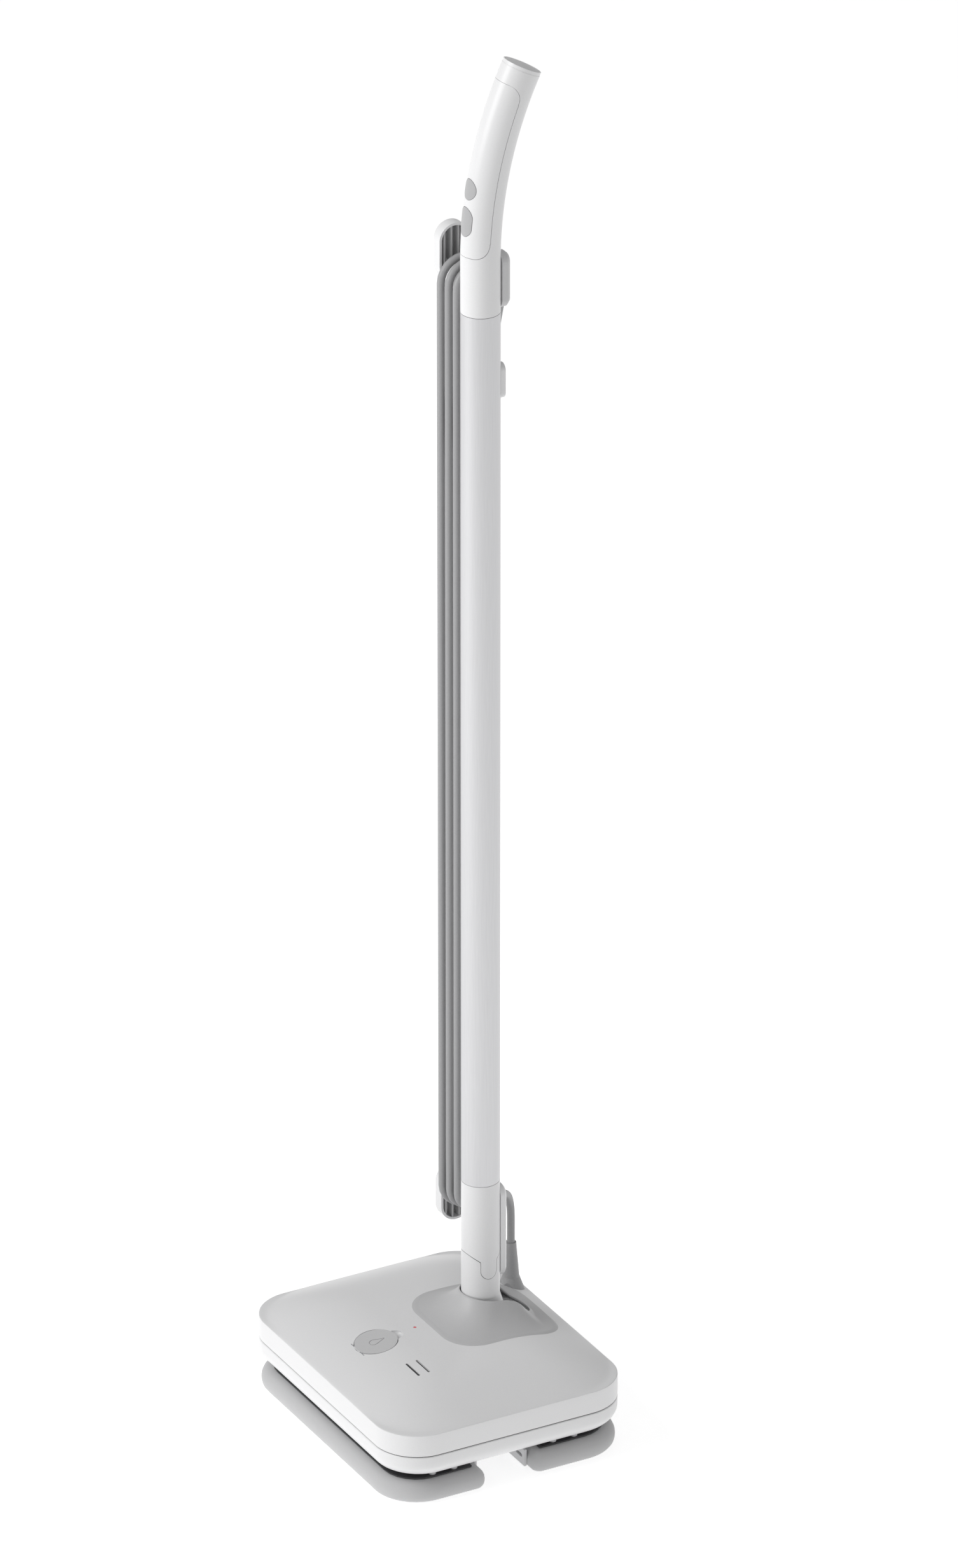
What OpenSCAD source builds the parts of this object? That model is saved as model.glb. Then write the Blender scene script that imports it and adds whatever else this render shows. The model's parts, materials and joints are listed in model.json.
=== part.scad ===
// Steam mop: a square cleaning head with two reciprocating pads, a leaning
// pole with wound mains cord, and a curved grip with two buttons.
// +Z is up, -Y is the front, the origin is on the floor under the head's centre.

/* [Head] */
// Half width of the head
head_hx = 135.5; // [134:0.5:137]
// Half depth of the head
head_hy = 110; // [109:0.5:112]
// Corner radius of the head in plan
head_r = 38.5; // [36:0.5:40]
// Height of the seam between the two shells
seam_z = 45.5; // [44:0.5:47]
// Height of the underside
belly_z = 24; // [24:0.5:25]
// Height of the top's edge at the middle of a side
edge_z = 65.3; // [64:0.1:66]
// Rise of the domed top above its edge
dome_h = 17.5; // [16:0.5:18]
// Distance over which the dome falls to its edge
dome_fall = 77; // [74:1:80]
// Wall thickness of the shells
wall = 2.4; // [2:0.1:3]

/* [Pads] */
// Half width of the pads
pad_hx = 132.6; // [130:0.1:132.8]
// Half depth over both pads
pad_hy = 109.8; // [108:0.1:109.9]
// Thickness of a pad at its rim
pad_h = 18; // [17:0.5:18.5]
// Inner end of the front pad
front_pad_in = -24.5; // [-26:0.5:-22]
// Inner end of the rear pad
rear_pad_in = 18.5; // [18:0.5:22]

/* [Pole] */
// Outside diameter of the tube
tube_d = 32; // [31:0.5:33]
// Wall of the tube
tube_wall = 1.4; // [1:0.1:2]
// Pole axis behind the head's centre
pole_y = 40.5; // [39:0.5:42]
// Lower end of the visible tube
tube_z0 = 207; // [205:1:210]
// Upper end of the visible tube
tube_z1 = 980; // [960:1:990]
// Height of the lean hinge
pivot_z = 58; // [57:0.5:58.5]

/* [Grip] */
// Bend radius of the grip
grip_bend_r = 350; // [340:5:360]
// Bend angle of the grip
grip_bend = 26.2; // [25:0.1:27]
// Straight length below the bend
grip_low = 44; // [43:1:46]
// Straight length above the bend
grip_end = 3; // [3:0.5:5]

/* [Cord] */
// Diameter of the mains cord
cord_d = 6.5; // [6:0.1:7]
// Hook axis behind the pole axis
hook_dy = 9; // [8:0.5:10]
// Height of the upper hook's axis
hook_top = 988; // [986:0.5:990]
// Height of the lower hook's axis
hook_low = 182.5; // [182:0.5:184]

/* [Hidden] */
$fn = 64;
eps = 0.02;
gap = 0.3;
skin = 0.15;
seam_gap = 0.4;

tube_r = tube_d / 2;
bore_r = tube_r - tube_wall;
hook_y = pole_y + hook_dy;
cord_r = cord_d / 2;
hub_y = -5;
stroke = 2.5;
disc_r = 4.6;
arm_hx = 14;
cap_y = -57.2;
cap_z = edge_z + dome_h - 1.8;
cap_r = 18;
cap_tilt = 8.1;
hinge_dy = 0.8 - cap_r;
hinge_dz = -1.1;
boot_x = -48;
boot_y = 95.5;
boot_z = 111.5;
cuff_y = 44.75;
slot_r = 20.3;
slot_front = 43.8;
slot_back = 64;
bend_z = tube_z1 + grip_low;
white = [0.95, 0.95, 0.96];
pale = [0.82, 0.82, 0.83];
grey = [0.66, 0.66, 0.67];
dark = [0.25, 0.25, 0.27];
steel = [0.72, 0.73, 0.75];
copper = [0.75, 0.47, 0.3];

// ---- plan shapes -------------------------------------------------------
module rounded(x, y, r) {
    square([2 * x - 2 * r, 2 * y], center = true);
    square([2 * x, 2 * y - 2 * r], center = true);
    for (sx = [-1, 1], sy = [-1, 1]) translate([sx * (x - r), sy * (y - r)]) circle(r);
}

// a disc or tube along X
module along_x(x0, x1, r, bore = 0) {
    translate([x0, 0, 0]) rotate([0, 90, 0]) difference() {
        cylinder(h = x1 - x0, r = r);
        if (bore > 0) translate([0, 0, -1]) cylinder(h = x1 - x0 + 2, r = bore);
    }
}

module upright(z0, z1, r, bore = 0) {
    translate([0, 0, z0]) difference() {
        cylinder(h = z1 - z0, r = r);
        if (bore > 0) translate([0, 0, -1]) cylinder(h = z1 - z0 + 2, r = bore);
    }
}

// ---- dome --------------------------------------------------------------
// One contour of the dome: e is 1 at the edge and 0 where the top is level.
function quarter(e, inset, hx, hy) = [for (a = [0:10:90])
    [hx - inset - (dome_fall - inset) * (1 - e * pow(cos(a), 2 / 3)),
     hy - inset - (dome_fall - inset) * (1 - e * pow(sin(a), 2 / 3))]];
function back(list) = [for (i = [len(list) - 1:-1:0]) list[i]];
function ring(q) = concat(q, [for (p = back(q)) [-p[0], p[1]]], [for (p = q) [-p[0], -p[1]]],
    [for (p = back(q)) [p[0], -p[1]]]);

module dome(inset, floor_z) {
    hull() {
        translate([0, 0, floor_z]) linear_extrude(edge_z - 2.8 - inset - floor_z)
            rounded(head_hx - inset, head_hy - inset, head_r - inset, $fn = 32);
        for (e = [0.04, 0.24, 0.43, 0.62, 0.81, 1])
            translate([0, 0, edge_z + dome_h * (1 - e * e) - inset - 0.4]) linear_extrude(0.4)
                polygon(ring(quarter(e, inset, head_hx, head_hy)));
    }
}

module belly(inset, top_z) {
    hull() {
        belly_slab(inset, 0, top_z - 0.5);
        for (a = [0:30:90]) belly_slab(inset, 1 - cos(a), belly_z + inset + 13 * (1 - sin(a)));
    }
}

module belly_slab(inset, t, z) {
    d = inset + 14 * t;
    translate([0, 0, z]) linear_extrude(0.5)
        rounded(head_hx - d, head_hy - d, head_r - inset - 10 * t, $fn = 32);
}

// ---- head --------------------------------------------------------------
module lower_shell() {
    color(white) difference() {
        union() {
            difference() {
                belly(0, seam_z);
                belly(wall, seam_z + 1);
            }
            for (x = [-106, 106], y = [-83, 83]) translate([x, y, belly_z + 1])
                cylinder(h = 27, r = 4.5);
            translate([0, hub_y, 0]) upright(belly_z + 1, 31, 11);
        }
        for (x = [-106, 106], y = [-83, 83]) translate([x, y, belly_z + 6]) cylinder(h = 30, r = 1.6);
        // seat of the crank's bush
        translate([0, hub_y, belly_z - 1]) cylinder(h = 12, r = 8.05);
        // steam outlets
        for (y = [-66, 66]) translate([70, y, belly_z - 1]) cylinder(h = 6, r = 4);
    }
}

module upper_shell() {
    color(white) difference() {
        dome(0, seam_z);
        dome(wall, seam_z - 1);
        neck_slot(seam_z + 1, slot_r + 1, pole_y);
        translate([0, cap_y, cap_z]) rotate([cap_tilt, 0, 0]) {
            translate([0, 0, -12]) cylinder(h = 30, r = cap_r + gap);
            // swing room for the cap's front edge
            translate([0, hinge_dy, hinge_dz]) along_x(-9.5, 9.5, 1.7);
            // finger notch
            translate([0, cap_r + 0.5, 2.6]) sphere(6.8);
        }
        translate([-3, -19.2, 60]) cylinder(h = 40, r = 1.4);
        for (y = [-53.5, -44.2]) translate([57, y, 60]) linear_extrude(40) rounded(11.3, 1.1, 1);
    }
}

// the slot that the neck leans back through
module neck_slot(z, r, front) {
    translate([0, 0, z]) linear_extrude(80) {
        translate([0, front]) circle(r);
        translate([0, slot_back]) circle(r);
        translate([-r, front]) square([2 * r, slot_back - front]);
    }
}

// The cuff rises from the dome to a lip that hugs the neck and opens backwards.
module cuff_layer(t, z, inset) {
    k = 1 - t;
    translate([0, cuff_y * k + 47.6 * t, z]) linear_extrude(eps)
        rounded(51.5 * k + 22.5 * t - inset, 52.25 * k + 24.5 * t - inset, 29 * k + 22 * t - inset, $fn = 32);
}

module cuff_hill(inset, drop) {
    steps = [[0, 60], [0.05, 80], [0.4, 85], [0.75, 93], [1, 105]];
    for (i = [0:len(steps) - 2]) hull() {
        cuff_layer(steps[i][0], steps[i][1] - drop, inset);
        cuff_layer(steps[i + 1][0], steps[i + 1][1] - drop, inset);
    }
}

module cuff() {
    color(grey) difference() {
        cuff_hill(0, 0);
        cuff_hill(1, 2.4);
        translate([0, 0, skin]) dome(0, seam_z);
        neck_slot(100, slot_r, slot_front);
        // wider below the lip, for the bell of the neck
        translate([0, 0, 40]) linear_extrude(60 + eps) {
            translate([0, pole_y + 0.6]) circle(21);
            translate([0, slot_back]) circle(slot_r);
            translate([-slot_r, pole_y]) square([2 * slot_r, slot_back - pole_y]);
        }
        // the lip falls away behind the neck
        rotate([90, 0, 90]) linear_extrude(160, center = true)
            polygon([[41, 102.5], [54, 100], [62, 97], [67, 93], [74, 85], [78, 80], [84, 76.5],
                [120, 74], [120, 140], [30, 140], [30, 104]]);
    }
}

module filler_well() {
    color(pale) translate([0, cap_y, 0]) difference() {
        union() {
            upright(62.5, 70, 14);
            upright(62.5, 64, cap_r - 1);
        }
        upright(60, 75, 11);
    }
}

module water_tank() {
    color([0.75, 0.82, 0.88]) difference() {
        union() {
            translate([0, -60, 34]) linear_extrude(26) rounded(48, 34, 10);
            translate([0, cap_y, 59]) cylinder(h = 3.3, r = 15);
        }
        translate([0, -60, 36]) linear_extrude(22) rounded(46, 32, 8);
        translate([0, cap_y, 50]) cylinder(h = 20, r = 12);
    }
}

module tank_outlet() {
    color(pale) translate([0, -58, 40]) along_x(-64.8, -48.2, 3, 2);
}

module water_pump() {
    color(dark) translate([-81, -58, 0]) {
        translate([0, 0, 30]) linear_extrude(20) rounded(16, 12, 3);
        upright(49.9, 56, 8);
    }
}

module boiler() {
    color(steel) translate([78, -8, 30]) difference() {
        linear_extrude(24) rounded(28, 34, 8);
        for (x = [-14, 14]) translate([x, 0, 12]) rotate([90, 0, 0])
            cylinder(h = 90, r = 4, center = true);
    }
}

module heating_element() {
    color(copper) translate([78, -8, 42]) {
        for (x = [-14, 14]) translate([x, 0, 0]) rotate([90, 0, 0])
            cylinder(h = 78, r = 3.8, center = true);
        // the return bend joins the two legs in front of the boiler
        translate([0, 39 - eps, 0]) rotate_extrude(angle = 180) translate([14, 0])
            circle(3.8);
    }
}

module steam_pipes() {
    color(copper) for (y = [-66, 66]) translate([70, y, 0]) upright(belly_z + 0.3, 44, 3.6, 2.4);
}

module control_board() {
    color([0.1, 0.4, 0.25]) translate([-84, 20, 34]) {
        linear_extrude(1.6) rounded(26, 30, 2);
        for (x = [-14, 2, 16]) translate([x, 4, 1.5]) linear_extrude(9) rounded(5, 7, 1);
    }
}

module drive_motor() {
    color(steel) translate([0, hub_y - 0.5, 0]) difference() {
        union() {
            upright(42, 70, 14.5);
            upright(69.9, 73, 6);
        }
        translate([0, 0.5, 40]) cylinder(h = 9, r = 3.05);
    }
}

module crank_bearing() {
    color(steel) translate([0, hub_y, 0]) upright(belly_z + 0.5, 31, 8, 3.05);
}

module pivot_blocks() {
    color(pale) for (s = [-1, 1]) translate([s * 29, pole_y, 0]) difference() {
        translate([0, 0, belly_z + wall + 0.1]) linear_extrude(pivot_z - belly_z + 6) rounded(3, 9, 2);
        translate([0, 0, pivot_z]) along_x(-9, 9, 5.02);
    }
}

module pivot_pin() {
    color(steel) translate([0, pole_y, pivot_z]) along_x(-32, 32, 5);
}

module park_spring() {
    color(steel) translate([22.2, pole_y, 0]) {
        upright(27, 29, 3);
        for (i = [0:4]) translate([0, 0, 29.5 + i * 2]) rotate_extrude() translate([2.6, 0])
            circle(1.05);
    }
}

module led_lens() {
    color([0.85, 0.3, 0.35]) translate([-3, -19.2, edge_z + dome_h - 6]) cylinder(h = 5.9, r = 1.3);
}

module steam_vents() {
    color(dark) for (y = [-53.5, -44.2]) translate([57, y, 78]) linear_extrude(3)
        rounded(11.1, 0.9, 0.8);
}

module cable_boot() {
    color(grey) difference() {
        translate([boot_x, boot_y, 0]) {
            translate([0, 0, 80]) cylinder(h = boot_z - 80, r1 = 7, r2 = 4.4);
            translate([0, 0, 66]) cylinder(h = 14 + eps, r1 = 12, r2 = 7);
        }
        translate([0, 0, skin]) dome(0, seam_z);
        translate([0, cuff_y, 60]) linear_extrude(26) rounded(51.5 + skin, 52.25 + skin, 29);
        translate([boot_x, boot_y, boot_z - 10]) cylinder(h = 20, r = cord_r + 0.05);
    }
}

module head_screws() {
    color(steel) for (x = [-106, 106], y = [-83, 83]) translate([x, y, 31.2]) {
        cylinder(h = 22, r = 1.5);
        translate([0, 0, 21.9]) cylinder(h = 2.6, r = 3);
    }
}

module cap_pin() {
    color(steel) translate([0, cap_y, cap_z]) rotate([cap_tilt, 0, 0])
        translate([0, hinge_dy, hinge_dz]) along_x(-11, 11, 0.5);
}

module filler_cap() {
    color(grey) translate([0, cap_y, cap_z]) rotate([cap_tilt, 0, 0]) difference() {
        union() {
            translate([0, 0, -2.2]) cylinder(h = 2.2, r = cap_r);
            translate([0, hinge_dy, hinge_dz]) along_x(-5, 5, 1);
        }
        translate([0, hinge_dy, hinge_dz]) along_x(-12, 12, 0.55);
        // drop outline
        translate([0, -2, -0.5]) difference() {
            linear_extrude(2) drop(0);
            translate([0, 0, -1]) linear_extrude(4) drop(0.6);
        }
    }
}

module drop(inset) {
    circle(4 - inset);
    polygon([[-3.3 + inset, 2.2], [3.3 - inset, 2.2], [0, 10.6 - 2.4 * inset]]);
}

module cap_seal() {
    color(dark) translate([0, cap_y, cap_z]) rotate([cap_tilt, 0, 0]) difference() {
        translate([0, 0.5, -6.5]) cylinder(h = 4.2, r = 10.4);
        translate([0, 0.5, -8]) cylinder(h = 4, r = 8);
    }
}

// ---- drive and pads ----------------------------------------------------
module crank_shaft() {
    color(steel) translate([0, hub_y, 0]) {
        upright(23.6, 47, 3);
        upright(18, 23.7, 1.8);
        translate([stroke, 0, 0]) upright(18.3, 20.4, disc_r);
        translate([-stroke, 0, 0]) upright(20.9, 23.5, disc_r);
    }
}

// a pad's plan: wide corners at the head's end, small ones at its inner end
function arc(x, y, r, a0) = [for (a = [a0:15:a0 + 90]) [x + r * cos(a), y + r * sin(a)]];
function pad_plan(out, in, inset) = let (hx = pad_hx - inset, o = abs(out) - inset,
    i = (out < 0 ? -in : in) + inset, ro = 39.5 - inset, ri = max(10 - inset, 1))
    concat(arc(hx - ro, o - ro, ro, 0), arc(ro - hx, o - ro, ro, 90),
        arc(ri - hx, i + ri, ri, 180), arc(hx - ri, i + ri, ri, 270));

module pad_slab(out, in, inset, z, h) {
    translate([0, 0, z]) mirror([0, out < 0 ? 1 : 0, 0]) linear_extrude(h)
        polygon(pad_plan(out, in, inset));
}

module pad_solid(out, in) {
    hull() for (s = [[5, 0], [1.5, 1.5], [0, 5], [0, 9.5], [1.2, 13.5], [4, 16.4], [8, pad_h - 0.5]])
        pad_slab(out, in, s[0], s[1], 0.5);
}

// a pad's carrier: a thin base, and a block that keeps back from its edge
module carrier(out, in) {
    pad_slab(out, in, 10, pad_h + skin, 1.1);
    pad_slab(out, in, 22, pad_h + 1, belly_z - pad_h - 1 - 0.4);
}

// the arm that the crank's disc pushes to and fro
module drive_arm(y0, y1, z, h) {
    translate([-arm_hx, y0, z]) cube([2 * arm_hx, y1 - y0, h]);
}

module drive_window() {
    translate([0, hub_y, 10]) linear_extrude(20) square([20.2, 15], center = true);
}

module peg_row(ys) {
    for (x = [-118, 118], y = ys) translate([x, y, pad_h + 1.3]) cylinder(h = 4.3, r = 3);
}

module rail(y, half) {
    translate([-half, y, 3]) cube([2 * half, 2.2, 14.9]);
}

module front_plate() {
    color(dark) difference() {
        union() {
            carrier(-pad_hy, front_pad_in);
            drive_arm(-50, 6, pad_h + skin, 2.3);
        }
        drive_window();
    }
}

module front_rail() {
    color(pale) rail(front_pad_in + skin, 108);
}

module front_pegs() {
    color(pale) peg_row([-68.7, -49]);
}

module front_pad() {
    color(grey) pad_solid(-pad_hy, front_pad_in);
}

module rear_plate() {
    color(dark) difference() {
        union() {
            carrier(pad_hy, rear_pad_in);
            drive_arm(-16, 50, 20.8, 2.7);
        }
        drive_window();
    }
}

module rear_rail() {
    color(pale) difference() {
        rail(rear_pad_in - skin - 2.2, 119);
        // small slots near both ends
        for (x = [-110, 110]) translate([x, rear_pad_in, 11]) rotate([90, 0, 0])
            linear_extrude(10, center = true) rounded(5, 1.6, 1.5);
    }
}

module rear_pegs() {
    color(pale) peg_row([43, 62.7]);
}

module rear_pad() {
    color(grey) pad_solid(pad_hy, rear_pad_in);
}

// ---- neck and pole -----------------------------------------------------
// The keyed seam between neck and lower fitting, drawn in the Y-Z plane.
tongue_r = 7.2;
tongue_z = 128.6;
shoulder_z = 137.5;
brow_z = 144;
module above_seam(grow) {
    rotate([90, 0, 90]) linear_extrude(80, center = true) {
        polygon([[pole_y - 40, brow_z + 6 - grow], [pole_y - 16, brow_z - grow],
            [pole_y - tongue_r - grow, shoulder_z - grow],
            [pole_y - tongue_r - grow, tongue_z], [pole_y + tongue_r + grow, tongue_z],
            [pole_y + tongue_r + grow, shoulder_z - grow],
            [pole_y + 16, brow_z - grow], [pole_y + 40, brow_z + 6 - grow],
            [pole_y + 40, 400], [pole_y - 40, 400]]);
        translate([pole_y, tongue_z]) circle(tongue_r + grow);
    }
}

module neck() {
    color(white) difference() {
        union() {
            translate([0, pole_y, pivot_z]) along_x(-18, 18, 12);
            translate([0, pole_y, 0]) {
                upright(pivot_z + 4, brow_z + 1, tube_r);
                upright(pivot_z + 10, 92, 19);
                translate([0, 0, 92 - eps]) cylinder(h = 10, r1 = 19, r2 = tube_r);
            }
        }
        translate([0, pole_y, pivot_z]) along_x(-40, 40, 5.06);
        translate([0, pole_y, 100]) cylinder(h = 60, r = bore_r - 1);
        above_seam(seam_gap);
    }
}

module lower_fitting() {
    color(white) difference() {
        union() {
            intersection() {
                translate([0, pole_y, 0]) upright(110, tube_z0, tube_r);
                above_seam(0);
            }
            translate([0, pole_y, 0]) upright(104, tube_z0 + 40, bore_r - 1 - skin);
            translate([0, pole_y, 0]) upright(tube_z0 - eps, tube_z0 + 40, bore_r - skin);
        }
        translate([0, pole_y, 90]) cylinder(h = 200, r = 10);
        translate([0, pole_y, tongue_z]) along_x(-40, -9, 2.1);
    }
}

module joint_screws() {
    color(steel) translate([0, pole_y, tongue_z]) along_x(-15, -10.2, 2);
}

module cable_guide() {
    color(white) difference() {
        hull() for (z = [124, 190]) translate([0, pole_y + 14, z]) rotate([-90, 0, 0]) {
            cylinder(h = 4.6, r = 9, $fn = 32);
            cylinder(h = 6.6, r = 6.5, $fn = 32);
        }
        translate([0, pole_y, 100]) cylinder(h = 120, r = tube_r + 0.1);
        // the lead's way in
        translate([-6, 60, 179.7]) rotate([0, 0, 158]) along_x(-1, 14, cord_r + 0.4);
    }
}

// the lead from the pole down to the head
rear_path = [[-6, 60, 179.8], [-12, 62.2, 178.7], [-17, 65.6, 177.2], [-23, 71.8, 174.2],
    [-29, 77.4, 170.6], [-35, 83, 165.8], [-40, 88, 160.5], [-43.8, 91.6, 154], [-46.5, 94, 147],
    [-47.7, 95.2, 139], [-48, 95.5, 130], [-48, 95.5, 120], [-48, 95.5, 110], [-48, 95.5, 103]];

// ---- swept tube --------------------------------------------------------
function unit(v) = v / norm(v);
function heading(p, i) = unit(p[min(i + 1, len(p) - 1)] - p[max(i - 1, 0)]);
function side_of(t) = unit(cross(t, abs(t[0]) < 0.8 ? [1, 0, 0] : [0, 1, 0]));
module swept(p, r, sides) {
    n = len(p);
    pts = [for (i = [0:n - 1]) let (t = heading(p, i), u = side_of(t), v = cross(t, u))
        for (k = [0:sides - 1]) p[i] + r * (cos(360 * k / sides) * u + sin(360 * k / sides) * v)];
    walls = [for (i = [0:n - 2], k = [0:sides - 1])
        [i * sides + k, (i + 1) * sides + k, (i + 1) * sides + (k + 1) % sides, i * sides + (k + 1) % sides]];
    caps = [[for (k = [0:sides - 1]) k], [for (k = [sides - 1:-1:0]) (n - 1) * sides + k]];
    polyhedron(points = pts, faces = concat(walls, caps), convexity = 10);
}

module rear_cable() {
    color(grey) swept(rear_path, cord_r, 12);
}

module tube() {
    color([0.8, 0.8, 0.82]) translate([0, pole_y, 0])
        upright(tube_z0 + seam_gap, tube_z1 - seam_gap, tube_r, bore_r);
}

// ---- cord hooks --------------------------------------------------------
plate_x0 = -68;
plate_x1 = -58;
plate_half = 24.5;
plate_r = 14;
low_plate = hook_low - 18;
top_plate = hook_top + 19;
stem_r = 11.9;
module stadium(half, r) {
    translate([0, half - r]) circle(r);
    translate([0, r - half]) circle(r);
    square([2 * r, 2 * (half - r)], center = true);
}

// stadium in the Y-Z plane, extruded along +X from x
module stadium_x(x, h, half, r) {
    translate([x, 0, 0]) rotate([90, 0, 90]) linear_extrude(h) stadium(half, r);
}

module hook_plate(z) {
    translate([0, hook_y, z]) difference() {
        stadium_x(plate_x0, plate_x1 - plate_x0, plate_half, plate_r);
        stadium_x(plate_x0 + 1.8, 20, plate_half - 2, plate_r - 2);
    }
}

module hook_saddle(z) {
    translate([0, hook_y, z]) {
        along_x(plate_x0 + 1.7, -22, stem_r);
        along_x(-22 - eps, -16.4, 7);
    }
}

module hook_fins(z, saddle_z) {
    difference() {
        translate([0, hook_y, z]) intersection() {
            for (y = [-9.45, -3.15, 3.15, 9.45]) translate([plate_x0 + 1.8 + skin, y - 0.6, -30])
                cube([7.6, 1.2, 60]);
            stadium_x(plate_x0, 12, plate_half - 2 - skin, plate_r - 2 - skin);
        }
        translate([0, hook_y, saddle_z]) along_x(-80, 0, stem_r + skin);
    }
}

module lower_hook() {
    color(white) difference() {
        union() {
            hook_plate(low_plate);
            hook_saddle(hook_low);
            translate([0, hook_y, hook_low]) along_x(-16.5, -10, 7);
        }
        translate([0, pole_y, 100]) cylinder(h = 120, r = tube_r + 0.05);
    }
}

module lower_hook_fins() {
    color(dark) hook_fins(low_plate, hook_low);
}

module upper_hook() {
    color(white) {
        hook_plate(top_plate);
        hook_saddle(hook_top);
        translate([0, hook_y, hook_top]) along_x(-16.5, -7, 4.95);
    }
}

module upper_hook_fins() {
    color(dark) hook_fins(top_plate, hook_top);
}

module hook_mount() {
    color(white) translate([0, hook_y, hook_top]) along_x(-16, -9.5, 7, 5);
}

// ---- grip --------------------------------------------------------------
module grip_rod(r) {
    translate([0, pole_y, 0]) {
        upright(tube_z1, bend_z, r);
        translate([0, grip_bend_r, bend_z]) rotate([90, 0, -90])
            rotate_extrude(angle = grip_bend, $fn = 180) translate([grip_bend_r, 0]) circle(r, $fn = 64);
        translate([0, grip_bend_r, bend_z]) rotate([-grip_bend, 0, 0])
            translate([0, -grip_bend_r, -2]) cylinder(h = grip_end + 2, r = r - 0.2);
    }
}

// a point beside the grip's centreline: s is its angle round the bend
function beside(s, out) = [pole_y + grip_bend_r - (grip_bend_r + out) * cos(s),
    bend_z + (grip_bend_r + out) * sin(s)];
panel_low = 6;
panel_s1 = 24;
module panel_side(grow) {
    rotate([90, 0, 90]) linear_extrude(60, center = true) difference() {
        polygon(concat([[pole_y + grow, bend_z + panel_low - grow]],
            [for (s = [1:1:panel_s1]) beside(s, -grow)], [beside(panel_s1 + grow / 6, 30)],
            [[pole_y - 40, bend_z + panel_low + 30 - grow], [pole_y - 40, bend_z + panel_low - grow]]));
        translate([pole_y + grow, bend_z + panel_low - grow]) corner(12);
        translate(beside(panel_s1, -grow)) rotate(90 - panel_s1) corner(12);
    }
}

// what rounding a corner takes away, for a corner whose sides run to -X and +Y
module corner(r) {
    difference() {
        translate([-r, -1]) square([r + 1, r + 1]);
        translate([-r, r]) circle(r);
    }
}

// a frame on the grip's front, with -Y outward, at height z
function grip_angle(z) = asin((z - bend_z) / grip_bend_r);
module on_grip(z) {
    translate([0, pole_y + grip_bend_r, bend_z]) rotate([-grip_angle(z), 0, 0])
        translate([0, -grip_bend_r, 0]) children();
}

module button_hole(z, half, r, grow) {
    on_grip(z) rotate([90, 0, 0]) linear_extrude(40) rounded(r + grow, half + grow, r + grow - eps);
}
power_z = 1083;
steam_z = 1057.5;
power_r = 8.4;

module handle_shell() {
    color(white) difference() {
        union() {
            difference() {
                grip_rod(tube_r);
                panel_side(0);
            }
            translate([0, pole_y, 0]) upright(tube_z1 - 36, tube_z1 + eps, bore_r - skin);
        }
        difference() {
            grip_rod(tube_r - 2.4);
            // the spigot's root stays thick
            translate([0, pole_y, tube_z1 - 1]) cylinder(h = 5, r = tube_r);
            // closed end
            translate([0, pole_y + grip_bend_r, bend_z]) rotate([-grip_bend, 0, 0])
                translate([-50, -grip_bend_r - 50, grip_end - 3]) cube([100, 100, 10]);
        }
        translate([0, pole_y, tube_z1 - 40]) cylinder(h = 50, r = tube_r - 4);
        // seat of the end cap
        translate([0, pole_y + grip_bend_r, bend_z]) rotate([-grip_bend, 0, 0])
            translate([0, -grip_bend_r, grip_end - 1.2]) cylinder(h = 3, r = tube_r - 1.4);
        // cord and hook pass through
        translate([0, hook_y, hook_top]) along_x(-40, -4, 7.05);
    }
}

module grip_panel() {
    color(white) difference() {
        intersection() {
            grip_rod(tube_r);
            panel_side(-seam_gap);
        }
        grip_rod(tube_r - 2.4);
        button_hole(power_z, power_r, power_r, 0.25);
        button_hole(steam_z, 12, 8.2, 0.25);
    }
}

cap_dome_r = 65;
module end_cap() {
    color(grey) translate([0, pole_y + grip_bend_r, bend_z]) rotate([-grip_bend, 0, 0])
        translate([0, -grip_bend_r, grip_end - 1.15]) intersection() {
            cylinder(h = 5, r = tube_r - 1.6);
            translate([0, 0, 2.7 - cap_dome_r]) sphere(cap_dome_r, $fn = 128);
        }
}

module cord_outlet() {
    color(grey) difference() {
        hull() {
            for (z = [989, 1019.5]) {
                translate([0, pole_y + 15, z]) rotate([-90, 0, 0]) cylinder(h = 5.4, r = 8.5, $fn = 32);
                translate([0, pole_y + 15, z]) rotate([-90, 0, 0]) cylinder(h = 8.2, r = 6, $fn = 32);
            }
        }
        translate([0, pole_y, 900]) cylinder(h = 200, r = tube_r + 0.1);
        translate(relief_top) along(relief_top, lead_path[0]) cylinder(h = 40, r = 5.55);
    }
}

module pushed(z, half, r, proud) {
    intersection() {
        difference() {
            grip_rod(tube_r + proud);
            grip_rod(tube_r - 2.2);
        }
        button_hole(z, half, r, 0);
    }
}

module power_button() {
    color(grey) pushed(power_z, power_r, power_r, 0.3);
}

module steam_button() {
    color(grey) pushed(steam_z, 12, 8.2, 0.3);
}

module switch_board() {
    color([0.1, 0.4, 0.25]) {
        translate([-8, pole_y + 1, 1042]) cube([16, 1.6, 52]);
        for (z = [steam_z, power_z]) translate([0, pole_y + 1.1, z]) rotate([90, 0, 0])
            cylinder(h = 5, r = 2.5);
    }
}

module latch_housing() {
    color(white) difference() {
        hull() for (z = [907.5, 926.5]) translate([0, pole_y + 14, z]) rotate([-90, 0, 0])
            cylinder(h = 5.8, r = 5.5, $fn = 32);
        translate([0, pole_y, 850]) cylinder(h = 120, r = tube_r + 0.1);
        translate([-3.3, pole_y, 918.7]) cube([6.6, 40, 8.6]);
    }
}

module latch_button() {
    color(grey) translate([-3, pole_y + tube_r + 1.9, 919]) cube([6, 2.4, 8]);
}

module inner_lead() {
    color(dark) translate([0, pole_y + 4, 0]) upright(112, tube_z1 + 20, 3);
}

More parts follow.
